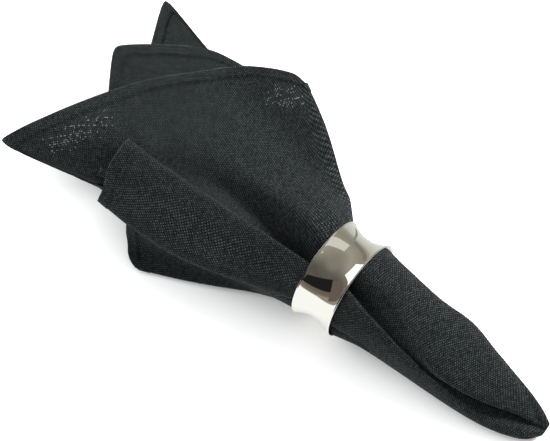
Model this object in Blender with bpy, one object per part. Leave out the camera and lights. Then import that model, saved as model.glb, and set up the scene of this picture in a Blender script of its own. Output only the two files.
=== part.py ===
"""A square cloth napkin, gathered at its middle and drawn through a waisted metal ring.

The napkin is one sheet. Its gathered middle is the tail, which points along +X, and its four
corners fan out behind the ring along -X. In the fan, the sheet is lofted from inside the ring
to the hem between the folds of one closed loop, and each row of FOLDS is one fold or bend of
that loop. In the tail, where the folds are packed together, it is a solid bundle with the
groove that runs along it, and the two are joined inside the ring. Lengths below are
millimetres, from the middle of the ring and from the surface that the napkin lies on.
"""
import math

import bmesh
import bpy
import numpy as np

MM = 0.001

# Ring: a turned wall, narrowest at its waist.
RIM_RADIUS = 25.0
WAIST_RADIUS = 21.7
RING_HALF_WIDTH = 10.4
RING_WALL = 1.0
RING_SIDES = 56
RING_SECTIONS = 9
AXIS_HEIGHT = RIM_RADIUS

# Cloth sheet: its thickness in the fan, and where it is pressed together in the ring.
FAN_THICKNESS = 1.0
PRESSED_THICKNESS = 0.7

# Each fold or bend of the loop, in order round it:
# name, fold radius (0 is a bend), y and z inside the ring, x and y of its end at the hem,
# z of its layer in the fan, lift of the hem end, sideways bow halfway.
FOLDS = (
    ("corner top", 0.0, 3.0, 43.4, -170.0, -44.0, 33.0, 4.0, 0.0),
    ("top hem left", 0.0, 6.5, 43.4, -148.0, 8.0, 33.0, 0.5, 0.0),
    ("top hem middle", 0.0, 11.0, 41.2, -119.6, 44.4, 33.0, 0.5, 0.0),
    ("top hem right", 0.0, 15.8, 36.8, -93.5, 67.0, 32.5, 0.0, 0.0),
    ("back fold 1", 3.6, 18.6, 30.0, -75.6, 74.5, 29.2, 0.0, 4.5),
    ("front fold 2", 1.2, -14.0, 21.2, -97.0, -22.0, 24.3, 0.0, 0.0),
    ("back fold 2", 1.2, 17.8, 25.2, -97.0, 70.0, 21.8, 0.0, 0.0),
    ("second hem bend", 0.0, 12.0, 23.8, -131.0, 63.5, 20.6, 1.0, 0.0),
    ("corner second", 0.0, 6.0, 22.4, -168.4, 35.4, 20.5, 4.0, 0.0),
    ("front fold 3", 1.2, -14.4, 18.4, -128.0, -24.0, 19.3, 0.0, 0.0),
    ("back fold 3", 1.2, 18.0, 21.1, -85.0, 62.0, 16.8, 0.0, 0.0),
    ("front fold 4", 1.2, -14.2, 15.7, -122.0, -24.0, 14.3, 0.0, 0.0),
    ("corner third", 0.0, 6.0, 16.9, -170.0, 76.0, 13.0, 3.0, 0.0),
    ("third hem bend", 0.0, 12.0, 17.6, -133.0, 67.0, 13.0, 1.5, 0.0),
    ("back fold 4", 1.2, 17.2, 17.0, -96.0, 60.0, 11.8, 0.0, 0.0),
    ("front fold 5", 1.2, -12.8, 13.1, -92.0, -29.0, 9.3, 0.0, 0.0),
    ("back fold 5", 1.2, 15.2, 13.0, -88.0, 61.0, 6.8, 0.0, 0.0),
    ("front fold 6", 1.2, -9.8, 11.0, -112.0, -22.0, 4.3, 0.0, 0.0),
    ("corner under", 0.0, 0.0, 9.6, -150.0, -10.0, 3.0, 0.0, 0.0),
    ("back fold 6", 1.2, 11.8, 9.3, -96.0, 56.0, 1.7, 0.0, 0.0),
    ("underside", 0.0, 0.0, 5.8, -92.0, 0.0, 0.5, 0.0, 0.0),
    ("front flap", 1.9, -9.6, 7.4, -85.0, -44.5, 2.4, 0.0, 0.0),
    ("flap rise", 0.0, -15.6, 12.6, -96.5, -39.0, 7.0, 0.0, 0.0),
    ("front side", 0.0, -18.2, 18.0, -101.0, -36.0, 17.0, 0.0, 0.0),
    ("front shoulder", 0.0, -16.6, 23.2, -100.0, -30.0, 27.4, 0.0, 0.0),
    ("back tuck", 1.2, 6.0, 30.4, -92.0, 15.0, 29.2, 0.0, 0.0),
    ("front lap edge", 3.6, -18.9, 27.0, -114.0, -38.5, 34.2, 2.0, -13.0),
    ("front lap", 0.0, -16.2, 35.8, -114.5, -24.0, 38.0, 3.5, 0.0),
    ("front lap crest", 1.2, -9.6, 42.0, -117.0, -8.0, 36.8, 3.0, 0.0),
    ("groove", 1.2, -3.6, 33.4, -112.0, -33.0, 34.2, 2.0, 0.0),
    ("wing hem", 0.0, 0.4, 39.6, -140.0, -38.0, 33.0, 2.5, 0.0),
)
RING_FOLD_SHARE = 0.52

# Tail: the gathered bundle, solid. Its sections give x from the ring's middle, y of the back,
# the front and the groove, z of the top and of the groove's floor.
TAIL = (
    (-2.0, 20.3, -20.3, -3.8, 45.3, 36.5),
    (10.4, 20.3, -20.3, -4.2, 45.3, 34.0),
    (24.0, 21.5, -17.0, -8.5, 40.0, 29.0),
    (42.0, 21.5, -15.5, -11.0, 34.0, 24.0),
    (60.0, 19.5, -15.5, -11.5, 29.0, 19.5),
    (74.0, 16.5, -16.0, -10.5, 25.0, 15.5),
    (88.0, 13.5, -14.5, -6.0, 21.0, 12.5),
    (100.0, 10.5, -12.0, -3.0, 17.5, 10.5),
    (108.5, 7.5, -7.5, -1.5, 14.0, 9.0),
)
TAIL_TIP = (113.5, 1.0, 6.5)
TAIL_LANDS = 30.0
TAIL_FLAT = 1.2
BUNDLE_RADIUS = 20.3
GROOVE_BACK_ANGLE = 88.0
GROOVE_FRONT_ANGLE = 113.0
BUNDLE_STEPS = 23
SHEET_START = 3.0

# Loft: how far the layers take to settle from the ring to the fan, its rows and panel length.
SETTLE_LENGTH = 60.0
FAN_ROWS = (0.1, 0.2, 0.32, 0.45, 0.58, 0.72, 0.86, 1.0)
PANEL_LENGTH = 34.0

COLOURS = {
    "napkin": ((0.035, 0.038, 0.038, 1.0), 0.9, 0.0),
    "ring": ((0.90, 0.89, 0.87, 1.0), 0.05, 1.0),
}


def unit(vector):
    """A vector's direction, at length 1."""
    return vector / max(np.linalg.norm(vector), 1e-9)


def smooth(share):
    """A soft step from 0 to 1."""
    share = np.clip(share, 0.0, 1.0)
    return share * share * (3.0 - 2.0 * share)


def rounded_folds(corners, radii, level):
    """The loop through the corners, each fold made of an entering, an outer and a leaving point."""
    points = []
    for index, (corner, radius) in enumerate(zip(corners, radii)):
        if radius == 0.0:
            points.append(corner)
            continue
        before = corners[index - 1] - corner
        after = corners[(index + 1) % len(corners)] - corner
        if level:
            inward = np.array((math.copysign(1.0, before[0] + after[0]), 0.0))
            across = np.array((0.0, math.copysign(1.0, after[1] - before[1])))
        else:
            inward = unit(unit(before) + unit(after))
            across = np.array((-inward[1], inward[0]))
            across *= math.copysign(1.0, across @ after)
        points.append(corner + radius * (inward - across))
        points.append(corner)
        points.append(corner + radius * (inward + across))
    return np.array(points)


def loop_points():
    """The loop's columns at every point: ring y and z, fan x, y and z, lift and bow."""
    radii = [row[1] for row in FOLDS]
    ring_radii = [RING_FOLD_SHARE * radius for radius in radii]
    ring = rounded_folds([np.array(row[2:4]) for row in FOLDS], ring_radii, level=False)
    fan = rounded_folds([np.array(row[5:7]) for row in FOLDS], radii, level=True)
    copies = [3 if radius else 1 for radius in radii]
    reach, lift, bow = (np.repeat([row[column] for row in FOLDS], copies) for column in (4, 7, 8))
    columns = np.column_stack((ring, reach, fan, lift, bow))
    points = []
    for start, end in zip(columns, np.roll(columns, -1, axis=0)):
        length = math.hypot(end[2] - start[2], end[3] - start[3])
        pieces = max(1, round(length / PANEL_LENGTH))
        points.extend(start + (end - start) * piece / pieces for piece in range(pieces))
    return np.array(points)


def fan_row(loop, share):
    """One row of the sheet at a share of the way from the ring's rim to the hem."""
    ring_y, ring_z, reach, fan_y, fan_z, lift, bow = loop.T
    x = -RING_HALF_WIDTH + (reach + RING_HALF_WIDTH) * share
    y = ring_y + (fan_y - ring_y) * share + bow * math.sin(math.pi * share)
    settled = smooth((-RING_HALF_WIDTH - x) / SETTLE_LENGTH)
    z = ring_z + (fan_z - ring_z) * settled + lift * share ** 2
    thickness = PRESSED_THICKNESS + (FAN_THICKNESS - PRESSED_THICKNESS) * settled
    return np.column_stack((x, y, z)), thickness


def ring_row(loop, x):
    """One row of the sheet where the ring holds it."""
    row = np.column_stack((np.full(len(loop), x), loop[:, 0], loop[:, 1]))
    return row, np.full(len(loop), PRESSED_THICKNESS)


def tail_section(x, back, front, groove, top, groove_floor):
    """The bundle's outline at one x: from the groove over the back, under and up the front."""
    angles = np.radians(np.linspace(GROOVE_BACK_ANGLE, GROOVE_FRONT_ANGLE - 360.0, BUNDLE_STEPS))
    round_y = np.append(BUNDLE_RADIUS * np.cos(angles), TAIL[0][3])
    round_z = np.append(AXIS_HEIGHT + BUNDLE_RADIUS * np.sin(angles), TAIL[0][4])
    y = np.interp(round_y, (-BUNDLE_RADIUS, TAIL[0][3], BUNDLE_RADIUS), (front, groove, back))
    landed = smooth((x - RING_HALF_WIDTH) / (TAIL_LANDS - RING_HALF_WIDTH))
    low = AXIS_HEIGHT - BUNDLE_RADIUS
    floor = low * (1.0 - landed) - TAIL_FLAT * landed
    z = floor + (round_z - low) * (top - floor) / (TAIL[0][4] - low)
    z = np.maximum(z, 0.0)
    z[-1] = groove_floor
    return [(x, *point) for point in zip(y, z)]


def sheet_sides(rows, thicknesses):
    """The two faces of the sheet, half its thickness to either side of its rows."""
    across = np.gradient(rows, axis=0)
    along = np.roll(rows, -1, axis=1) - rows
    normals = np.cross(along, across + np.roll(across, -1, axis=1))
    normals /= np.maximum(np.linalg.norm(normals, axis=2, keepdims=True), 1e-9)
    mean = normals + np.roll(normals, 1, axis=1)
    mean /= np.maximum(np.linalg.norm(mean, axis=2, keepdims=True), 1e-9)
    stretch = np.minimum(1.0 / np.maximum((mean * normals).sum(axis=2), 0.1), 1.35)
    offset = mean * (0.5 * thicknesses * stretch)[:, :, None]
    return rows + offset, rows - offset


def add_object(name, vertices, faces):
    """A mesh object in its own material, with its faces pointing out."""
    mesh = bpy.data.meshes.new(name)
    mesh.from_pydata((np.array(vertices) * MM).tolist(), [], faces)
    body = bmesh.new()
    body.from_mesh(mesh)
    bmesh.ops.recalc_face_normals(body, faces=body.faces)
    bmesh.ops.triangulate(body, faces=body.faces)
    body.to_mesh(mesh)
    body.free()
    colour, roughness, metallic = COLOURS["ring" if name == "ring" else "napkin"]
    material = bpy.data.materials.new(name)
    material.use_nodes = True
    shader = material.node_tree.nodes["Principled BSDF"]
    shader.inputs["Base Color"].default_value = colour
    shader.inputs["Roughness"].default_value = roughness
    shader.inputs["Metallic"].default_value = metallic
    mesh.materials.append(material)
    mesh.shade_smooth()
    mesh.set_sharp_from_angle(angle=math.radians(35))
    item = bpy.data.objects.new(name, mesh)
    bpy.context.collection.objects.link(item)
    return item


def sheet_mesh():
    """The sheet's vertices and faces, from inside the ring to the hem."""
    loop = loop_points()
    rows = [ring_row(loop, SHEET_START)]
    rows += [fan_row(loop, share) for share in (0.0,) + FAN_ROWS]
    outer, inner = sheet_sides(*(np.array(values) for values in zip(*rows)))
    size = len(loop)
    vertices = np.vstack((outer.reshape(-1, 3), inner.reshape(-1, 3)))
    second = len(rows) * size
    last = second - size
    faces = []
    for k in range(size):
        k_next = (k + 1) % size
        for base in (0, second):
            for here in range(base, base + last, size):
                faces.append((here + k, here + size + k, here + size + k_next, here + k_next))
        for edge in (0, last):
            faces.append((edge + k, second + edge + k, second + edge + k_next, edge + k_next))
    return vertices, faces


def tail_mesh():
    """The bundle's vertices and faces, from inside the ring to its rounded tip."""
    sections = [tail_section(*station) for station in TAIL]
    size = len(sections[0])
    vertices = [point for section in sections for point in section] + [TAIL_TIP]
    faces = [tuple(range(size))]
    for k in range(size):
        k_next = (k + 1) % size
        for here in range(0, (len(sections) - 1) * size, size):
            faces.append((here + k, here + size + k, here + size + k_next, here + k_next))
        last = (len(sections) - 1) * size
        faces.append((last + k, len(vertices) - 1, last + k_next))
    return np.array(vertices), faces


def ring_mesh():
    """The waisted wall, turned round the ring's axis."""
    outer = [(x, WAIST_RADIUS + (RIM_RADIUS - WAIST_RADIUS) * (x / RING_HALF_WIDTH) ** 2)
             for x in np.linspace(-RING_HALF_WIDTH, RING_HALF_WIDTH, RING_SECTIONS)]
    profile = outer + [(x, radius - RING_WALL) for x, radius in reversed(outer)]
    vertices = []
    for side in range(RING_SIDES):
        angle = 2.0 * math.pi * side / RING_SIDES
        vertices += [(x, radius * math.sin(angle), AXIS_HEIGHT - radius * math.cos(angle))
                     for x, radius in profile]
    size = len(profile)
    faces = []
    for side in range(RING_SIDES):
        here, there = side * size, (side + 1) % RING_SIDES * size
        for k in range(size):
            k_next = (k + 1) % size
            faces.append((here + k, here + k_next, there + k_next, there + k))
    return np.array(vertices), faces


def build():
    for item in list(bpy.data.objects):
        bpy.data.objects.remove(item)
    pieces = {"napkin": sheet_mesh(), "tail bundle": tail_mesh(), "ring": ring_mesh()}
    points = np.vstack([vertices for vertices, _ in pieces.values()])
    middle = 0.5 * (points.min(axis=0) + points.max(axis=0))
    middle[2] = 0.0
    items = {name: add_object(name, vertices - middle, faces)
             for name, (vertices, faces) in pieces.items()}
    bundle = items["tail bundle"]
    bundle.hide_render = True
    bundle.display_type = "WIRE"
    joined = items["napkin"].modifiers.new("tail", "BOOLEAN")
    joined.operation = "UNION"
    joined.solver = "EXACT"
    joined.object = bundle


build()
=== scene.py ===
"""A gathered linen napkin in its waisted, polished ring, on a pale table in soft studio light.

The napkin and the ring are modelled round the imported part. Their own sizes are millimetres from
the middle of the ring's axis, with z up from the table, and MM turns them into metres.
"""
import math

import bmesh
import bpy
import numpy as np
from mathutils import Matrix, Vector


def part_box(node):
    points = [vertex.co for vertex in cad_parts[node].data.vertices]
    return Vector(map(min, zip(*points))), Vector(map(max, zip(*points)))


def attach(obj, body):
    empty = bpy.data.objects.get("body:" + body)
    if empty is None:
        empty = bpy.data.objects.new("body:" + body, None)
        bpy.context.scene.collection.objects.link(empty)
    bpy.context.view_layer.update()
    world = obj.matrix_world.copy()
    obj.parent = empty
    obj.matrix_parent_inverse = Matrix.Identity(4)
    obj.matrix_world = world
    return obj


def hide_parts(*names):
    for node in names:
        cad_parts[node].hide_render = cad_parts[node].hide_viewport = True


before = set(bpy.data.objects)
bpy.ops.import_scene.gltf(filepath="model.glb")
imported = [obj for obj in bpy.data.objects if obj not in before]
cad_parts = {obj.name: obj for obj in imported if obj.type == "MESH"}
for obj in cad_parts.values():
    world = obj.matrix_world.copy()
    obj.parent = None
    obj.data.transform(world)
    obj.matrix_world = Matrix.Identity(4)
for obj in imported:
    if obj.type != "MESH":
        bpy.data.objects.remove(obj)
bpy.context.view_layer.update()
ring_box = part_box("ring")
scene = bpy.context.scene
MM = 0.001
ring_middle = Vector(((ring_box[0][0] + ring_box[1][0]) / 2, (ring_box[0][1] + ring_box[1][1]) / 2, 0.0))
axis_height = (ring_box[0][2] + ring_box[1][2]) / 2 / MM


# ---------------------------------------------------------------- camera
# Held by hand over the table, in front of the tail and to its side, looking down at the fan.
CAMERA_TURN = math.radians(37.7)
CAMERA_RISE = math.radians(61.5)
CAMERA_DISTANCE = 0.700
LOOKS_AT = Vector((-43.2, 5.4, 25.0)) * MM

back = Vector((
    math.sin(CAMERA_TURN) * math.cos(CAMERA_RISE),
    -math.cos(CAMERA_TURN) * math.cos(CAMERA_RISE),
    math.sin(CAMERA_RISE),
))
camera = bpy.data.objects.new("camera", bpy.data.cameras.new("camera"))
camera.data.sensor_width = 36.0
camera.data.lens = 97.66
camera.data.clip_start = 0.01
camera.location = ring_middle + LOOKS_AT + back * CAMERA_DISTANCE
camera.rotation_mode = "QUATERNION"
camera.rotation_quaternion = (-back).to_track_quat("-Z", "Y")
scene.collection.objects.link(camera)
scene.camera = camera


# ---------------------------------------------------------------- table and light
# A white table top in a plain studio. One broad soft light hangs high up behind the fan, and a
# weaker one stands in front. The polished ring mirrors a plain beige room: a dark doorway and a
# bright window in front of it, pale walls behind.
TABLE_HALF = 4.0
TABLE_DROP = 0.0003
TABLE_GLOW = 0.7
SEEN_GLOW = 0.68
SHADOW_REACH = 0.05
SHADOW_SAMPLES = 8
# The even light of the room on all that isn't mirrored.
SOFT_FILL = (0.46, 0.46, 0.46, 1.0)
# What the ring mirrors, by the sine of the angle above the table: in front of it and behind it.
FRONT_TONES = (
    (-0.10, (1.050, 1.050, 1.000)), (-0.05, (0.240, 0.200, 0.160)), (0.12, (0.150, 0.125, 0.100)),
    (0.35, (0.110, 0.102, 0.088)), (0.65, (0.095, 0.088, 0.072)), (0.88, (0.125, 0.120, 0.098)),
    (1.00, (0.230, 0.215, 0.170)))
BACK_TONES = (
    (-0.70, (0.790, 0.790, 0.760)), (-0.30, (0.620, 0.625, 0.575)), (-0.08, (0.520, 0.520, 0.450)),
    (0.06, (0.330, 0.320, 0.260)), (0.30, (0.270, 0.255, 0.200)), (0.70, (0.350, 0.330, 0.265)),
    (1.00, (0.230, 0.215, 0.170)))
# What hangs or stands round the table, each flat and upright: the way it lies in degrees, then its
# sides and its lower and upper edge as shares of its distance, its softness and its colour.
ROOM_PANELS = (
    (75.0, -1.40, 0.36, 0.60, 1.42, 0.030, (0.660, 0.640, 0.585)),
    (93.0, -0.03, 0.03, -0.75, 0.14, 0.020, (0.250, 0.235, 0.190)),
    (120.0, -0.45, 0.50, 0.12, 0.30, 0.030, (0.220, 0.200, 0.150)),
    (5.0, -0.05, 0.05, 1.08, 1.19, 0.040, (1.000, 1.080, 1.250)),
    (190.0, -0.60, 3.20, -0.24, 0.06, 0.020, (0.310, 0.265, 0.220)),
    (245.0, -1.05, -0.27, -0.10, 0.95, 0.020, (0.135, 0.108, 0.090)),
    (245.0, -0.27, 2.70, 0.28, 1.06, 0.015, (0.0145, 0.013, 0.013)),
    (201.0, -1.12, -0.25, 0.02, 0.86, 0.012, (1.350, 1.350, 1.350)),
)


def shading(name):
    """A new node material: its node tree, its surface shader and itself."""
    material = bpy.data.materials.new(name)
    material.use_nodes = True
    return material.node_tree, material.node_tree.nodes["Principled BSDF"], material


def add(tree, kind, inputs, output=0, **settings):
    """Adds a shader node, with its settings, and its inputs set or linked. Returns an output."""
    made = tree.nodes.new("ShaderNode" + kind)
    for name, value in settings.items():
        setattr(made, name, value)
    for name, value in inputs.items():
        if isinstance(value, bpy.types.NodeSocket):
            tree.links.new(value, made.inputs[name])
        else:
            made.inputs[name].default_value = value
    return made.outputs[output]


def calc(tree, operation, *values):
    """A math node on up to three sockets or numbers."""
    return add(tree, "Math", dict(enumerate(values)), operation=operation)


def between(tree, value, low, high, edge):
    """1 where the value lies between low and high, with soft edges."""
    rising = add(tree, "MapRange", {"Value": value, "From Min": low - edge, "From Max": low + edge},
                 interpolation_type="SMOOTHSTEP")
    falling = add(tree, "MapRange", {"Value": value, "From Min": high + edge, "From Max": high - edge},
                  interpolation_type="SMOOTHSTEP")
    return calc(tree, "MULTIPLY", rising, falling)


def ramp(tree, value, stops):
    """A colour ramp through the stops, each a position and a colour."""
    made = tree.nodes.new("ShaderNodeValToRGB")
    tree.links.new(value, made.inputs[0])
    elements = made.color_ramp.elements
    for position, colour in stops[1:-1]:
        elements.new(position).color = (*colour, 1.0)
    for element, (position, colour) in zip((elements[0], elements[len(stops) - 1]), (stops[0], stops[-1])):
        element.position = position
        element.color = (*colour, 1.0)
    return made.outputs[0]


def mixed(tree, share, first, second, blend_type="MIX"):
    """Two colours mixed."""
    made = tree.nodes.new("ShaderNodeMix")
    made.data_type = "RGBA"
    made.blend_type = blend_type
    for socket, value in zip((made.inputs[0], made.inputs[6], made.inputs[7]), (share, first, second)):
        if isinstance(value, bpy.types.NodeSocket):
            tree.links.new(value, socket)
        else:
            socket.default_value = value
    return made.outputs[2]


table_mesh = bpy.data.meshes.new("table_top")
table_shape = bmesh.new()
bmesh.ops.create_grid(table_shape, x_segments=1, y_segments=1, size=TABLE_HALF)
bmesh.ops.translate(table_shape, verts=table_shape.verts, vec=(0.0, 0.0, -TABLE_DROP))
table_shape.to_mesh(table_mesh)
table_shape.free()
table = bpy.data.objects.new("table_top", table_mesh)
scene.collection.objects.link(table)
tree, shader, table_paint = shading("white table")
shader.inputs["Base Color"].default_value = (0.95, 0.95, 0.94, 1.0)
shader.inputs["Roughness"].default_value = 0.7
shader.inputs["Specular IOR Level"].default_value = 0.2
shader.inputs["Emission Color"].default_value = (1.0, 1.0, 1.0, 1.0)
# The table glows, which keeps it pale. It lights the object evenly, but is itself seen with less
# glow close to the object, so that a soft shadow lies there.
clear = add(tree, "AmbientOcclusion", {"Distance": SHADOW_REACH}, output="AO", samples=SHADOW_SAMPLES)
looked_at = add(tree, "LightPath", {}, output="Is Camera Ray")
seen_glow = calc(tree, "MULTIPLY", calc(tree, "POWER", clear, 2.0), SEEN_GLOW)
glow = add(tree, "Mix", {0: looked_at, 2: TABLE_GLOW, 3: seen_glow})
tree.links.new(glow, shader.inputs["Emission Strength"])
table_mesh.materials.append(table_paint)
table.visible_glossy = False


def softbox(name, place, size, power, colour):
    """A square area light that faces the middle of the ring, and that the ring doesn't mirror."""
    light = bpy.data.lights.new(name, "AREA")
    light.shape = "SQUARE"
    light.size = size
    light.energy = power
    light.color = colour
    item = bpy.data.objects.new(name, light)
    item.location = ring_middle + Vector(place)
    item.rotation_mode = "QUATERNION"
    item.rotation_quaternion = Vector(place).to_track_quat("Z", "Y")
    item.visible_glossy = False
    scene.collection.objects.link(item)


softbox("high_softbox", (0.45, 0.9, 0.75), 0.5, 31.0, (1.0, 0.995, 0.98))
softbox("front_softbox", (-0.9, -0.7, 0.9), 1.0, 13.0, (0.96, 0.98, 1.0))

world = bpy.data.worlds.new("studio")
world.use_nodes = True
tree = world.node_tree
facing = add(tree, "TexCoord", {}, output="Generated")
facing = add(tree, "SeparateXYZ", {0: facing})
side, depth, height = facing.node.outputs
level = calc(tree, "MULTIPLY_ADD", height, 0.5, 0.5)
front, behind = (ramp(tree, level, [((sine + 1.0) / 2.0, colour) for sine, colour in tones])
                 for tones in (FRONT_TONES, BACK_TONES))
backward = add(tree, "MapRange", {"Value": depth, "From Min": -0.5, "From Max": 0.25},
               interpolation_type="SMOOTHSTEP")
room = mixed(tree, backward, front, behind)
for way, left, right, low, high, soft, colour in ROOM_PANELS:
    sine, cosine = math.sin(math.radians(way)), math.cos(math.radians(way))
    ahead = calc(tree, "MULTIPLY_ADD", side, cosine, calc(tree, "MULTIPLY", depth, sine))
    across = calc(tree, "MULTIPLY_ADD", depth, cosine, calc(tree, "MULTIPLY", side, -sine))
    inside = calc(tree, "MULTIPLY", between(tree, calc(tree, "DIVIDE", across, ahead), left, right, soft),
                  between(tree, calc(tree, "DIVIDE", height, ahead), low, high, soft))
    inside = calc(tree, "MULTIPLY", inside, calc(tree, "GREATER_THAN", ahead, 0.0))
    room = mixed(tree, inside, room, (*colour, 1.0))
mirrored = add(tree, "LightPath", {}, output="Is Glossy Ray")
sky = tree.nodes["Background"]
tree.links.new(mixed(tree, mirrored, SOFT_FILL, room), sky.inputs["Color"])
sky.inputs["Strength"].default_value = 1.0
scene.world = world
scene.view_settings.view_transform = "Standard"


# ---------------------------------------------------------------- napkin
# One hemmed 43 cm square of coarse plain linen, dyed charcoal. It is pinched at its middle, which
# is the tip of the tail, and drawn through the ring; its corners fan out behind in flat folds.
NAPKIN_SIDE = 430.0
HEM_WIDTH = 6.0
CLOTH_THICKNESS = 0.55
HEM_THICKNESS = 1.2
TABLE_GAP = 0.05
CHARCOAL = (0.0168, 0.0197, 0.0203, 1.0)
THREAD_PITCHES = (0.58, 0.92)
THREAD_WANDER = 0.35
STITCH_LENGTH = 2.6
# The pale grey painted in the open crossings, for the light that shows through them.
PAINTED_SEEN_THROUGH_GREY = (0.20, 0.207, 0.212, 1.0)
TOP_LAYER_END = 160
# Where the top layer's weave is open: middle, turn about the vertical, half-length and half-width.
SHEER_PATCHES = (
    ((-144.8, -17.8, 34.0), math.radians(60), 14.5, 4.6),
    ((-77.0, 58.5, 33.0), math.radians(20), 9.0, 4.6),
)

# Each fold or bend of the loop that the gathered cloth makes, in order round it: name, place
# along the hem from the top corner, fold radius (0 is a bend), y and z inside the ring, x and y
# of its end at the hem, z of its layer in the fan, lift of the hem end, sideways bow halfway,
# place round the tail's section, and the length of a mesh step along the hem.
FOLDS = (
    ("corner top", 0, 0.0, -4.6, 33.3, -172.2, -45.0, 33.0, 0.5, 0.0, 0.15, 2.5),
    ("wing", 22, 0.0, -4.2, 33.5, -159.5, -17.6, 34.5, 1.0, 0.0, 0.25, 2.5),
    ("top hem left", 48, 0.0, -3.4, 34.8, -148.0, 8.0, 33.0, 0.5, 0.0, 0.45, 2.5),
    ("valley side", 68, 0.0, -0.6, 42.2, -136.0, 27.0, 33.0, 0.5, 0.0, 0.95, 2.5),
    ("top hem middle", 90, 0.0, 5.8, 43.8, -119.6, 45.4, 33.0, 0.5, 0.0, 1.6, 2.5),
    ("top hem bend", 109, 0.0, 11.4, 42.0, -104.0, 60.5, 34.5, 0.2, 0.0, 2.1, 2.5),
    ("top hem right", 136, 0.0, 15.0, 38.8, -81.2, 70.6, 36.0, 0.0, 0.0, 2.45, 2.5),
    ("back fold 1", 160, 1.2, 18.2, 32.6, -74.5, 70.9, 34.4, 0.0, 4.5, 2.75, 4),
    ("front fold 2", 260, 1.2, -14.0, 21.2, -97.0, -12.0, 22.9, 0.0, 0.0, 2.97, 4),
    ("back fold 2", 350, 1.2, 17.8, 25.2, -97.0, 70.0, 21.8, 0.0, 0.0, 3.04, 3),
    ("second hem bend", 388, 0.0, 12.0, 23.8, -131.0, 63.5, 20.6, 1.0, 0.0, 3.07, 3),
    ("corner second", 430, 0.0, 6.0, 22.4, -168.4, 35.4, 20.5, 4.0, 0.0, 3.1, 3),
    ("front fold 3", 500, 1.2, -14.4, 18.4, -128.0, -24.0, 19.3, 0.0, 0.0, 3.14, 7),
    ("back fold 3", 615, 1.2, 18.0, 21.1, -85.0, 62.0, 16.8, 0.0, 0.0, 3.2, 7),
    ("front fold 4", 730, 1.2, -14.2, 15.7, -122.0, -24.0, 14.3, 0.0, 0.0, 3.26, 4),
    ("corner third", 860, 0.0, 6.0, 16.9, -171.6, 78.0, 13.0, 3.0, 0.0, 3.3, 3),
    ("third hem bend", 905, 0.0, 12.0, 17.6, -133.0, 67.0, 13.0, 1.5, 0.0, 3.35, 4),
    ("back fold 4", 940, 1.2, 17.2, 17.0, -96.0, 60.0, 11.8, 0.0, 0.0, 3.4, 7),
    ("front fold 5", 1035, 1.2, -12.8, 13.1, -92.0, -29.0, 9.3, 0.0, 0.0, 3.5, 7),
    ("back fold 5", 1130, 1.2, 15.2, 13.0, -88.0, 61.0, 6.8, 0.0, 0.0, 3.6, 7),
    ("front fold 6", 1215, 1.2, -9.8, 11.0, -112.0, -22.0, 4.3, 0.0, 0.0, 3.75, 6),
    ("corner under", 1290, 0.0, 0.0, 9.6, -150.0, -10.0, 3.0, 0.0, 0.0, 3.85, 6),
    ("back fold 6", 1374, 1.2, 11.8, 9.3, -96.0, 56.0, 1.7, 0.0, 0.0, 4.0, 7),
    ("underside", 1430, 0.0, 0.0, 5.8, -92.0, 0.0, 0.5, 0.0, 0.0, 4.5, 5),
    ("front flap", 1478, 0.0, -9.6, 7.4, -86.0, -45.6, 2.6, 0.0, -2.0, 5.1, 3),
    ("flap corner", 1485, 0.0, -13.6, 10.0, -93.4, -44.1, 3.4, 0.0, 0.0, 5.3, 3),
    ("flap rise", 1492, 0.0, -16.4, 13.4, -98.6, -38.5, 5.0, 0.0, 0.0, 5.5, 3),
    ("front side", 1502, 0.0, -18.2, 18.0, -101.0, -35.0, 17.0, 0.0, 0.0, 5.8, 3),
    ("front shoulder", 1511, 0.0, -16.6, 23.2, -99.0, -30.0, 22.5, 0.0, 0.0, 5.95, 4),
    ("back tuck", 1545, 1.2, 6.0, 30.4, -92.0, 15.0, 28.6, 0.0, 0.0, 6.05, 5),
    ("front lap edge", 1602, 3.6, -18.9, 27.0, -114.9, -38.0, 27.0, 0.5, -9.0, 6.15, 2.5),
    ("front lap side", 1612, 0.0, -18.0, 32.0, -118.3, -25.7, 35.5, 0.5, -4.0, 6.4, 2.5),
    ("front lap", 1622, 0.0, -15.6, 36.6, -118.6, -20.9, 39.0, 1.0, 0.0, 6.7, 2.5),
    ("front lap crest", 1636, 2.0, -9.6, 41.8, -118.2, -9.9, 39.4, 2.0, 0.0, 7.1, 2.5),
    ("groove", 1662, 1.2, -5.4, 33.2, -112.0, -32.0, 27.0, 0.0, 0.0, 8.0, 2.5),
    ("wing hem", 1691, 0.0, -4.8, 33.4, -139.8, -36.8, 28.0, 0.0, 0.0, 8.1, 2.5),
)
HEM_LENGTH = 4 * NAPKIN_SIDE
RING_FOLD_SHARE = 0.52
PANEL_LENGTH = 34.0
CORNER_CUT = 4.0
CORNER_BLUNTING = 0.6
UNDERSIDE_PLACE = 1430.0
# How far from the ring the cloth takes to settle to its layer's height, by hem place.
SETTLE_LENGTHS = ((60.0, 72.0), (100.0, 48.0), (300.0, 48.0), (400.0, 72.0))

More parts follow.
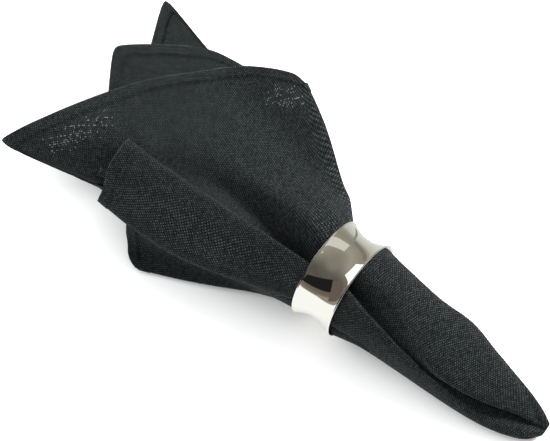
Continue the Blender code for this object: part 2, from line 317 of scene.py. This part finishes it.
# Sections of the skin round the gathered cloth, from the ring's two rims to near the tail's tip:
# x, then y and z of the groove's floor, the edge of the body beside it, the crown, the back, the
# underside's back and front, the front, and the lip on the groove's other side.
TAIL = (
    (-10.4, -4.8, 35.0, 0.0, 44.5, 12.4, 44.6, 23.0, 27.0, 12.5, 4.6, -12.5, 4.6, -23.0, 23.0, -12.0, 44.6),
    (10.4, -7.5, 36.0, -1.0, 45.0, 13.0, 44.4, 22.8, 27.0, 14.0, 5.2, -12.5, 4.6, -22.6, 21.0, -11.4, 43.0),
    (24.0, -8.6, 28.6, 0.5, 38.5, 14.6, 38.8, 20.8, 22.0, 13.0, 3.0, -9.0, 3.0, -18.4, 16.0, -11.4, 32.2),
    (42.0, -11.2, 23.9, -5.5, 30.8, 14.2, 32.6, 20.2, 17.0, 13.0, 1.2, -8.5, 1.2, -16.4, 12.0, -13.4, 26.4),
    (60.0, -10.8, 18.0, -10.6, 23.7, 15.8, 27.2, 20.8, 13.0, 13.0, 0.9, -8.0, 0.9, -15.0, 8.5, -12.8, 19.4),
    (74.0, -6.4, 13.0, -9.3, 19.2, 13.0, 23.4, 17.6, 11.0, 11.0, 0.9, -7.5, 0.9, -13.9, 6.5, -12.2, 13.6),
    (88.0, -1.4, 8.6, -4.8, 15.6, 10.8, 18.6, 14.4, 9.4, 9.0, 0.9, -6.0, 0.9, -12.0, 5.0, -10.0, 9.5),
    (99.0, 2.2, 6.2, 0.2, 11.0, 9.6, 13.4, 12.0, 8.0, 7.5, 0.9, -3.5, 0.9, -9.0, 4.4, -6.5, 8.0),
    (107.0, 3.2, 5.4, 2.2, 7.6, 8.0, 9.2, 9.4, 6.6, 6.5, 1.4, -0.5, 1.4, -5.2, 4.2, -3.2, 7.0),
    (112.0, 3.8, 5.3, 3.6, 6.0, 5.4, 7.0, 6.6, 5.8, 5.4, 3.2, 2.4, 3.2, 0.8, 4.4, 1.8, 5.8),
)
TIP_REACH = 100.0
TAIL_PLACES = 8
TAIL_STEPS = 6
INNER_PLEATS = (2.8, 5.0)
PLEATS_FADE = 72.0
LAP_FADE = 20.0

# Soft troughs and ridges over the folds: name, hem places that it spans (counted back below zero
# from the top corner), the x and y where it starts, bends and ends, its height and its half-width
# at its start and its end.
CREASES = (
    ("valley", -50, 150, -12.0, -8.0, -50.0, 8.0, -95.0, -8.0, -5.0, -3.5, 4.0, 9.0),
    ("flute", 4, 150, -10.0, 0.0, -46.0, 23.0, -98.0, 10.0, 3.2, 1.6, 4.0, 10.0),
    ("right crest", 4, 150, -14.0, 14.0, -45.0, 26.0, -82.0, 26.0, 1.0, 1.4, 5.0, 8.0),
    ("right hollow", 60, 170, -20.0, 27.0, -50.0, 40.0, -95.0, 47.0, -2.0, -3.6, 6.0, 13.0),
    ("wing droop", -50, 150, -162.0, -44.0, -140.0, -37.0, -118.0, -32.0, -5.0, -17.0, 9.0, 17.0),
    ("second lobe", 0, 200, 78.0, 15.5, 96.0, 10.0, 112.0, 1.0, -0.5, -0.8, 1.8, 1.6),
)
CREASE_FADE = 8.0
CREASE_STEPS = 41
COUNTED_BACK = 60.0

# The ring, and how the cloth fills it: wider than at the waist towards its rims, and swelling at
# the back just outside it.
RING_HALF_WIDTH = 10.4
RIM_RADIUS = 25.0
WAIST_RADIUS = 21.7
RING_WALL = 1.0
RING_GAP = 0.3
WAIST_FILL = 1.08
RIM_FILL = 1.17
SWELL_LENGTH = 34.0
BACK_SWELL = 0.13
BACK_SWELL_START = 0.5
BACK_SWELL_SIDE = (-4.0, 16.0)
BACK_SWELL_PLACE = (-17.0, 8.0)
HELD_REACH = 14.0
RING_ROWS = 8
# Inside the ring: which places round the cloth close over the groove, how far along, and how much.
GROOVE_SIDES = ((0.45, 0.0), (0.95, 1.0), (1.6, 0.0), (6.7, 0.0), (7.1, 1.0), (8.0, 0.0))
CLOSED_REACH = 9.0
CLOSED_STEP = 3.6
CLOSED_RISE = 1.7


def smooth(share):
    """A soft step from 0 to 1."""
    share = np.clip(share, 0.0, 1.0)
    return share * share * (3.0 - 2.0 * share)


def unit(vector):
    """A vector's direction, at length 1."""
    return vector / max(np.linalg.norm(vector), 1e-9)


def rounded_folds(corners, radii, level):
    """The loop through the corners, each fold made of an entering, an outer and a leaving point."""
    points = []
    for index, (corner, radius) in enumerate(zip(corners, radii)):
        if radius == 0.0:
            points.append(corner)
            continue
        before = corners[index - 1] - corner
        after = corners[(index + 1) % len(corners)] - corner
        if level:
            inward = np.array((math.copysign(1.0, before[0] + after[0]), 0.0))
            across = np.array((0.0, math.copysign(1.0, after[1] - before[1])))
        else:
            inward = unit(unit(before) + unit(after))
            across = np.array((-inward[1], inward[0]))
            across *= math.copysign(1.0, across @ after)
        points += [corner + radius * (inward - across), corner, corner + radius * (inward + across)]
    return np.array(points)


def spline(points, steps, closed):
    """A smooth curve through the points, with so many steps from each point to the next."""
    points = np.asarray(points, dtype=float)
    count = len(points)
    curve = []
    for index, pieces in enumerate(steps):
        if closed:
            a, b, c, d = (points[(index + shift) % count] for shift in (-1, 0, 1, 2))
        else:
            a, b = points[max(index - 1, 0)], points[index]
            c, d = points[min(index + 1, count - 1)], points[min(index + 2, count - 1)]
        near, middle, far = (max(np.linalg.norm(q - p), 1e-6) ** 0.5 for p, q in ((a, b), (b, c), (c, d)))
        start = (b - a) / near - (c - a) / (near + middle) + (c - b) / middle
        end = (c - b) / middle - (d - b) / (middle + far) + (d - c) / far
        start, end = start * middle, end * middle
        for piece in range(pieces):
            t = piece / pieces
            curve.append(
                (2 * t ** 3 - 3 * t ** 2 + 1) * b + (t ** 3 - 2 * t ** 2 + t) * start
                + (3 * t ** 2 - 2 * t ** 3) * c + (t ** 3 - t ** 2) * end)
    if not closed:
        curve.append(points[-1])
    return np.array(curve)


# The loop's columns at every control point: hem place, ring y and z, hem x and y, fan z, lift,
# bow and tail place, and the number of steps to the next point.
radii = [row[2] for row in FOLDS]
copies = [3 if radius else 1 for radius in radii]
ring_radii = [RING_FOLD_SHARE * radius for radius in radii]
ring_loop = rounded_folds([np.array(row[3:5]) for row in FOLDS], ring_radii, False)
fan_loop = rounded_folds([np.array(row[6:8]) for row in FOLDS], radii, True)
place, reach, lift, bow, tail_place, fineness = (
    np.repeat([float(row[column]) for row in FOLDS], copies) for column in (1, 5, 8, 9, 10, 11))
folds = np.column_stack((place, ring_loop, reach, fan_loop, lift, bow, tail_place))
following = np.roll(folds, -1, axis=0)
following[:, 0] = np.maximum.accumulate(np.append(place[1:], HEM_LENGTH))
last_turn = following[-1].copy()
last_turn[-1] = folds[0][-1] + TAIL_PLACES
following[-1] = last_turn
controls, steps = [], []
for start, end, step in zip(folds, following, fineness):
    if end[-1] < start[-1]:
        start = start.copy()
        start[-1] -= TAIL_PLACES
    length = math.hypot(end[3] - start[3], end[4] - start[4])
    pieces = max(1, round(length / PANEL_LENGTH))
    cuts = [piece / pieces for piece in range(pieces + 1)]
    if start[0] % NAPKIN_SIDE == 0:
        cuts.insert(1, CORNER_CUT / length)
    if end[0] % NAPKIN_SIDE == 0:
        cuts.insert(-1, 1.0 - CORNER_CUT / length)
    for here, there in zip(cuts, cuts[1:]):
        controls.append(start + (end - start) * here)
        steps.append(max(2, round(length * (there - here) / step)))
controls = np.array(controls)
# The corners are a little blunt, as a hem's folded corner is.
corner = controls[:, 0] % NAPKIN_SIDE == 0
beside = (np.roll(controls, 1, axis=0) + np.roll(controls, -1, axis=0)) / 2
controls[corner, 1:-1] += CORNER_BLUNTING * (beside - controls)[corner, 1:-1]
columns = sum(steps)
hem_place, ring_y, ring_z, hem_x, hem_y, fan_z, hem_lift, side_bow, round_tail = controls.T


def fill(x):
    """How much wider than at the waist the cloth is, as it fills the ring and swells out of it."""
    inside = WAIST_FILL + (RIM_FILL - WAIST_FILL) * (x / RING_HALF_WIDTH) ** 2
    beyond = 1.0 + (RIM_FILL - 1.0) * (1.0 - smooth((-RING_HALF_WIDTH - x) / SWELL_LENGTH))
    return np.where(x < -RING_HALF_WIDTH, beyond, inside)


def fan_row(share):
    """The control points of one row, at a share of the way from the ring's rim to the hem."""
    x = -RING_HALF_WIDTH + (hem_x + RING_HALF_WIDTH) * share
    wide = fill(x)
    sideways = smooth((ring_y - BACK_SWELL_SIDE[0]) / BACK_SWELL_SIDE[1])
    lengthwise = np.exp(-((x - BACK_SWELL_PLACE[0]) / BACK_SWELL_PLACE[1]) ** 2)
    swell = 1.0 + BACK_SWELL * sideways * lengthwise
    swell = np.where(x < -RING_HALF_WIDTH - BACK_SWELL_START, swell, 1.0)
    start_y = ring_y * wide * swell
    start_z = axis_height + (ring_z - axis_height) * wide
    y = start_y + (hem_y - start_y) * share + side_bow * np.sin(np.pi * share)
    settled = smooth((-RING_HALF_WIDTH - x) / np.interp(hem_place, *zip(*SETTLE_LENGTHS)))
    z = start_z + (fan_z - start_z) * settled + hem_lift * share ** 2
    return np.column_stack((x, y, z))


def ring_row(x):
    """The control points of one row inside the ring, where the groove's two sides close up."""
    wide = float(fill(np.array(x)))
    turn = round_tail % TAIL_PLACES
    closed = smooth(1.0 - abs(x) / CLOSED_REACH) * np.interp(turn, *zip(*GROOVE_SIDES))
    y = (ring_y + closed * np.where(turn > TAIL_PLACES / 2, CLOSED_STEP, -CLOSED_STEP)) * wide
    z = axis_height + (ring_z + closed * CLOSED_RISE - axis_height) * wide
    return np.column_stack((np.full(len(ring_y), x), y, z))


SKIN_STEPS = 24
tail_sections = spline(TAIL[1:], [TAIL_STEPS] * (len(TAIL) - 2), False)


def skin(section):
    """The y and z of every control point on one section of the tail's skin."""
    outline = spline(np.reshape(section[1:], (TAIL_PLACES, 2)), [SKIN_STEPS] * TAIL_PLACES, True)
    outline = np.vstack((outline, outline[:1]))
    at = (round_tail % TAIL_PLACES) * SKIN_STEPS
    return np.column_stack([np.interp(at, np.arange(len(outline)), outline[:, axis]) for axis in (0, 1)])


gathered = ring_row(RING_HALF_WIDTH)[:, 1:] - skin(TAIL[0])
drawn = skin(TAIL[1]) - skin(TAIL[0])


def tail_row(section):
    """The control points of one row of the tail, whose inner pleats shrink towards its tip."""
    inner = (round_tail > INNER_PLEATS[0]) & (round_tail < INNER_PLEATS[1])
    fade = 1.0 - smooth((section[0] - RING_HALF_WIDTH) / np.where(inner, PLEATS_FADE, LAP_FADE))
    points = skin(section) + gathered * fade[:, None]
    return np.column_stack((np.full(len(points), section[0]), points))


# Rows from the tail's tip to the hem.
along = abs(np.mod(hem_place, NAPKIN_SIDE) - NAPKIN_SIDE / 2)
slant = np.hypot(along, NAPKIN_SIDE / 2) / (NAPKIN_SIDE / 2)
ray = np.hypot(hem_x + RING_HALF_WIDTH, hem_y - ring_y)
FAN_ROWS = 46
ROWS_CROWD = 1.15
INSIDE_HEM = 8.0
HEM_ROWS = (6.6, 6.1, 5.6, 4.6, 3.0, 1.4, 0.4, 0.0)
rows = [tail_row(section) for section in tail_sections[:0:-1]]
for x in np.linspace(RING_HALF_WIDTH, -RING_HALF_WIDTH, RING_ROWS):
    row = ring_row(x)
    row[:, 1:] += drawn * smooth((x + RING_HALF_WIDTH) / (2 * RING_HALF_WIDTH))
    rows.append(row)
fan_start = len(rows) - 1
rows += [fan_row((k / FAN_ROWS) ** ROWS_CROWD * (1.0 - INSIDE_HEM * slant / ray))
         for k in range(1, FAN_ROWS + 1)]
rows += [fan_row(1.0 - depth * slant / ray) for depth in HEM_ROWS]
points = np.array([spline(row, steps, True) for row in rows])
row_count = len(rows)
column_starts = np.append(0, np.cumsum(steps))
column_place = np.interp(np.arange(columns + 1), column_starts, np.append(hem_place, HEM_LENGTH))

back_place = (column_place[:-1] + COUNTED_BACK) % HEM_LENGTH - COUNTED_BACK
for name, first, last, x0, y0, x1, y1, x2, y2, start_high, end_high, start_wide, end_wide in CREASES:
    t = np.linspace(0.0, 1.0, CREASE_STEPS)
    crease_x = (1 - t) ** 2 * x0 + 2 * t * (1 - t) * x1 + t ** 2 * x2
    crease_y = (1 - t) ** 2 * y0 + 2 * t * (1 - t) * y1 + t ** 2 * y2
    away = np.hypot(points[:, :, :1] - crease_x, points[:, :, 1:2] - crease_y)
    nearest = away.argmin(axis=2)
    along_crease = t[nearest]
    high = start_high + (end_high - start_high) * along_crease
    wide = start_wide + (end_wide - start_wide) * along_crease
    spanned = smooth((back_place - first) / CREASE_FADE) * smooth((last - back_place) / CREASE_FADE)
    spanned = spanned * smooth((abs(points[:, :, 0]) - RING_HALF_WIDTH) / CREASE_FADE)
    pressed = spanned * high * np.exp(-(away.min(axis=2) / wide) ** 2)
    points += pressed[:, :, None] * np.array(back / back.z)

# The ring holds the cloth inside its wall, and the table holds it up.
beyond = abs(points[:, :, 0]) - RING_HALF_WIDTH
wall = np.where(beyond > 0.0, RIM_RADIUS + beyond,
                WAIST_RADIUS + (RIM_RADIUS - WAIST_RADIUS) * (points[:, :, 0] / RING_HALF_WIDTH) ** 2)
from_axis = np.maximum(np.hypot(points[:, :, 1], points[:, :, 2] - axis_height), 1e-6)
held = np.where(beyond > HELD_REACH, 1.0, np.minimum(1.0, (wall - RING_WALL - RING_GAP) / from_axis))
points[:, :, 1] *= held
points[:, :, 2] = axis_height + (points[:, :, 2] - axis_height) * held
points[:, :, 2] = np.maximum(points[:, :, 2], TABLE_GAP + HEM_THICKNESS / 2)

# Flat places on the cloth, so that its threads keep their spacing: each panel of the fan unrolled
# with its hem along a thread, and the tail unrolled along its length.
closed_points = np.concatenate((points, points[:, :1]), axis=1)
spans = np.linalg.norm(np.diff(closed_points, axis=0), axis=2)
run = np.vstack((np.zeros(columns + 1), np.cumsum(spans, axis=0)))
round_run = np.linalg.norm(np.diff(closed_points, axis=1), axis=2)
round_run = np.column_stack((np.zeros(row_count), np.cumsum(round_run, axis=1)))
under = np.searchsorted(column_place, UNDERSIDE_PLACE)
round_run[:, under:] -= round_run[:, -1:]
flat_tail = np.stack((run, round_run), axis=2)


def unrolled(inside):
    """Flat places of the columns of one panel, opened out about the point where they would meet."""
    part = points[fan_start:, inside]
    rays = part[-1] - part[0]
    lengths = np.linalg.norm(rays, axis=1)
    ways = (rays / lengths[:, None])[:-1]
    widths = []
    for row in (part[0], part[-1]):
        gaps = np.diff(row, axis=0)
        widths.append(np.linalg.norm(gaps - ways * (gaps * ways).sum(axis=1)[:, None], axis=1))
    narrowing = np.clip(widths[0].sum() / widths[1].sum(), 0.1, 0.9)
    inner = lengths.mean() * narrowing / (1.0 - narrowing)
    turn = np.append(0.0, np.cumsum(widths[1] / (inner + lengths[:-1])))
    reach = inner + run[fan_start:, inside] - run[fan_start, inside]
    flat = np.stack((reach * np.cos(turn), reach * np.sin(turn)), axis=2)
    chord = flat[-1, -1] - flat[-1, len(turn) // 2]
    angle = -math.atan2(chord[1], chord[0])
    return flat @ np.array(((math.cos(angle), -math.sin(angle)), (math.sin(angle), math.cos(angle)))).T


panel_ends = [column_starts[k] for k in range(1, len(controls) - 1)
              if hem_place[k - 1] == hem_place[k] == hem_place[k + 1]]
panel_starts = panel_ends[-1:] + panel_ends[:-1]
panels = [unrolled(np.arange(first, last + 1 if first < last else last + columns + 1) % columns)
          for first, last in zip(panel_starts, panel_ends)]

napkin_shape = bmesh.new()
bmesh.ops.create_grid(napkin_shape, x_segments=columns, y_segments=row_count - 1, size=0.5)
sheer_layer = napkin_shape.verts.layers.float.new("sheer")
weight_layer = napkin_shape.verts.layers.deform.verify()
thread_layer = napkin_shape.loops.layers.uv.new("threads")
hem_layer = napkin_shape.loops.layers.uv.new("hem")
middle = np.array((ring_middle.x, ring_middle.y, 0.0))
depths = np.array([INSIDE_HEM] * (row_count - len(HEM_ROWS)) + list(HEM_ROWS))
spot = {}
for vertex in napkin_shape.verts:
    column = round((vertex.co.x + 0.5) * columns)
    row = round((vertex.co.y + 0.5) * (row_count - 1))
    spot[vertex] = (row, column)
    place_mm = points[row, column % columns]
    vertex.co = middle + place_mm * MM
    vertex[weight_layer][0] = 1.0 if depths[row] < HEM_WIDTH else 0.0
    if column_place[column] < TOP_LAYER_END:
        for centre, tilt, half_length, half_width in SHEER_PATCHES:
            offset = place_mm - np.array(centre)
            lengthwise = offset @ np.array((math.cos(tilt), math.sin(tilt), 0.0)) / half_length
            crosswise = offset @ np.array((-math.sin(tilt), math.cos(tilt), 0.0)) / half_width
            sheerness = math.exp(-lengthwise ** 4 - crosswise ** 4)
            vertex[sheer_layer] = max(vertex[sheer_layer], sheerness)
for face in napkin_shape.faces:
    left = min(spot[loop.vert][1] for loop in face.loops)
    number = np.searchsorted(panel_ends, left, side="right") % len(panel_ends)
    in_fan = min(spot[loop.vert][0] for loop in face.loops) >= fan_start
    for loop in face.loops:
        row, column = spot[loop.vert]
        if in_fan:
            flat = panels[number][row - fan_start, (left - panel_starts[number]) % columns + column - left]
        else:
            flat = flat_tail[row, column]
        loop[thread_layer].uv = flat * MM
        loop[hem_layer].uv = (column_place[column] * MM, depths[row] * MM)
bmesh.ops.remove_doubles(napkin_shape, verts=napkin_shape.verts, dist=1e-7)
bmesh.ops.recalc_face_normals(napkin_shape, faces=napkin_shape.faces)
tip_edge = [edge for edge in napkin_shape.edges if edge.is_boundary
            and all(vertex.co.x > middle[0] + TIP_REACH * MM for vertex in edge.verts)]
bmesh.ops.holes_fill(napkin_shape, edges=tip_edge, sides=0)
napkin_mesh = bpy.data.meshes.new("napkin_cloth")
napkin_shape.to_mesh(napkin_mesh)
napkin_shape.free()
napkin_mesh.shade_smooth()
napkin = bpy.data.objects.new("napkin_cloth", napkin_mesh)
scene.collection.objects.link(napkin)
napkin.vertex_groups.new(name="hem")
thick = napkin.modifiers.new("cloth thickness", "SOLIDIFY")
thick.thickness = HEM_THICKNESS * MM
thick.offset = 0.0
thick.vertex_group = "hem"
thick.thickness_vertex_group = CLOTH_THICKNESS / HEM_THICKNESS

# The linen: warp and weft threads that pass over and under each other, uneven in tone and place,
# with a line of stitches inside the hem and two places where the weave is open.
tree, shader, cloth = shading("charcoal linen")
threads = add(tree, "UVMap", {}, uv_map="threads")
uneven = add(tree, "TexNoise", {"Vector": threads, "Scale": 90.0, "Detail": 2.0}, output="Color")
uneven = add(tree, "VectorMath", {0: uneven, 1: (0.5, 0.5, 0.5)}, operation="SUBTRACT")
uneven = add(tree, "VectorMath", {0: uneven, "Scale": THREAD_WANDER * MM}, operation="SCALE")
threads = add(tree, "VectorMath", {0: threads, 1: uneven}, operation="ADD")
threads = add(tree, "VectorMath", {0: threads, 1: (THREAD_PITCHES[0] * MM, THREAD_PITCHES[1] * MM, 1.0)},
              operation="DIVIDE")
warp_at, weft_at = add(tree, "SeparateXYZ", {0: threads}).node.outputs[:2]
warp, weft = (calc(tree, "SINE", calc(tree, "MULTIPLY", at, math.pi)) for at in (warp_at, weft_at))
warp_round, weft_round = (calc(tree, "ABSOLUTE", wave) for wave in (warp, weft))
over = calc(tree, "MULTIPLY_ADD", calc(tree, "MULTIPLY", warp, weft), 6.0, 0.5)
over = add(tree, "Clamp", {"Value": over})
warp_top = calc(tree, "MULTIPLY", calc(tree, "POWER", warp_round, 0.6),
                calc(tree, "MULTIPLY_ADD", weft_round, 0.5, 0.5))
weft_top = calc(tree, "MULTIPLY", calc(tree, "POWER", weft_round, 0.6),
                calc(tree, "MULTIPLY_ADD", warp_round, 0.5, 0.5))
weave = add(tree, "Mix", {0: over, 2: weft_top, 3: warp_top})
crossing = add(tree, "VectorMath", {0: threads}, operation="FLOOR")
fleck = add(tree, "TexWhiteNoise", {"Vector": crossing}, noise_dimensions="2D")
slubs, slubs_across = (
    add(tree, "TexNoise", {"Vector": add(tree, "Mapping", {"Vector": threads, "Scale": scale}),
                           "Scale": 1.0, "Detail": 2.0})
    for scale in ((0.06, 0.9, 1.0), (0.9, 0.06, 1.0)))
hem = add(tree, "UVMap", {}, uv_map="hem")
hem = add(tree, "VectorMath", {0: hem, "Scale": 1.0 / MM}, operation="SCALE")
hem_at, hem_depth = add(tree, "SeparateXYZ", {0: hem}).node.outputs[:2]
stitch_line = between(tree, hem_depth, 5.0, 5.7, 0.2)
stitch = between(tree, calc(tree, "FRACT", calc(tree, "DIVIDE", hem_at, STITCH_LENGTH)), 0.15, 0.75, 0.08)
stitched = calc(tree, "MULTIPLY", stitch_line, stitch)
# The step at the hem's turned-in edge has painted shade along it, but not on the front lap. It is
# pressed in sharply by the third corner, where the painted shade is deeper, and the hem's rim has a
# painted highlight that makes it paler.
painted_hem_step_shade = calc(tree, "MULTIPLY", between(tree, hem_depth, 5.6, 6.8, 0.6),
              calc(tree, "SUBTRACT", 1.0, between(tree, hem_at, 1598.0, 1640.0, 6.0)))
painted_pressed_shade = calc(tree, "MULTIPLY", between(tree, hem_depth, 5.9, 6.7, 0.5),
                  between(tree, hem_at, 826.0, 862.0, 2.0))
painted_rim_highlight = between(tree, hem_depth, -1.0, 0.5, 0.3)
# The threads' tone: dark between them, painted shade in the gaps together with what shows through
# them; then times each mask's share and a base.
tone = calc(tree, "MAXIMUM", calc(tree, "MULTIPLY_ADD", weave, 2.4, -0.45), 0.08)
for mask, share, base in (
        (slubs, 0.4, 0.8), (slubs_across, 0.4, 0.8), (fleck, 0.9, 0.55), (over, 1.0, 0.5),
        (painted_hem_step_shade, -0.25, 1.0), (painted_pressed_shade, -0.75, 1.0), (painted_rim_highlight, 0.9, 1.0), (stitched, -0.45, 1.0)):
    tone = calc(tree, "MULTIPLY", tone, calc(tree, "MULTIPLY_ADD", mask, share, base))
colour = mixed(tree, 1.0, CHARCOAL, add(tree, "CombineColor", {0: tone, 1: tone, 2: tone}), "MULTIPLY")
# In the sheer places some crossings are open, and are painted pale for the light that shows through
# them, more of them along some weft threads.
sheer = add(tree, "Attribute", {}, output="Fac", attribute_name="sheer")
missing = add(tree, "TexWhiteNoise", {"W": calc(tree, "FLOOR", weft_at)}, noise_dimensions="1D")
open_share = calc(tree, "MULTIPLY_ADD", calc(tree, "GREATER_THAN", missing, 0.62), 0.28, 0.03)
painted_open_light = calc(tree, "GREATER_THAN", calc(tree, "MULTIPLY", sheer, open_share), fleck)
mid_crossing = between(tree, calc(tree, "MULTIPLY", warp_round, weft_round), 0.45, 2.0, 0.15)
painted_open_light = calc(tree, "MULTIPLY", painted_open_light, mid_crossing)
tree.links.new(mixed(tree, painted_open_light, colour, PAINTED_SEEN_THROUGH_GREY), shader.inputs["Base Color"])
relief = calc(tree, "MULTIPLY_ADD", stitched, -0.8, weave)
bump = add(tree, "Bump", {"Height": relief, "Strength": 0.7, "Distance": 0.25 * MM})
tree.links.new(bump, shader.inputs["Normal"])
shader.inputs["Roughness"].default_value = 0.9
shader.inputs["Specular IOR Level"].default_value = 0.1
shader.inputs["Sheen Weight"].default_value = 0.03
shader.inputs["Sheen Roughness"].default_value = 0.45
napkin_mesh.materials.append(cloth)
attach(napkin, "root")
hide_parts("napkin")


# ---------------------------------------------------------------- ring
# One turned metal ring with a thin wall, waisted like a reel, with rounded lips. It is polished to
# a mirror, and sits round the napkin's gather.
RING_STEPS = 160
PROFILE_POINTS = 25
LIP_RADIUS = 0.5 * RING_WALL
ring_shape = bmesh.new()
outer = [(x, WAIST_RADIUS + (RIM_RADIUS - WAIST_RADIUS) * (x / RING_HALF_WIDTH) ** 2)
         for x in np.linspace(-RING_HALF_WIDTH, RING_HALF_WIDTH, PROFILE_POINTS)]
lip = [(LIP_RADIUS * math.cos(turn), LIP_RADIUS * math.sin(turn))
       for turn in np.radians((60, 30, 0, -30, -60))]
profile = [(x, radius) for x, radius in outer[1:-1]]
profile += [(RING_HALF_WIDTH - LIP_RADIUS + dx, RIM_RADIUS - LIP_RADIUS + dy) for dx, dy in lip]
profile += [(x, radius - RING_WALL) for x, radius in outer[-2:0:-1]]
profile += [(-RING_HALF_WIDTH + LIP_RADIUS - dx, RIM_RADIUS - LIP_RADIUS + dy) for dx, dy in lip[::-1]]
wall = [ring_shape.verts.new(ring_middle + Vector((x, 0.0, axis_height + radius)) * MM)
        for x, radius in profile]
wall_edges = [ring_shape.edges.new((wall[k], wall[(k + 1) % len(wall)])) for k in range(len(wall))]
bmesh.ops.spin(
    ring_shape, geom=wall + wall_edges, cent=ring_middle + Vector((0.0, 0.0, axis_height)) * MM,
    axis=(1.0, 0.0, 0.0), angle=math.tau, steps=RING_STEPS, use_merge=True)
bmesh.ops.remove_doubles(ring_shape, verts=ring_shape.verts, dist=1e-6)
bmesh.ops.recalc_face_normals(ring_shape, faces=ring_shape.faces)
ring_mesh = bpy.data.meshes.new("napkin_ring")
ring_shape.to_mesh(ring_mesh)
ring_shape.free()
ring_mesh.shade_smooth()
ring = bpy.data.objects.new("napkin_ring", ring_mesh)
scene.collection.objects.link(ring)
tree, shader, polish = shading("mirror polish")
shader.inputs["Base Color"].default_value = (0.90, 0.89, 0.87, 1.0)
shader.inputs["Metallic"].default_value = 1.0
shader.inputs["Roughness"].default_value = 0.03
ring_mesh.materials.append(polish)
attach(ring, "root")
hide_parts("ring")
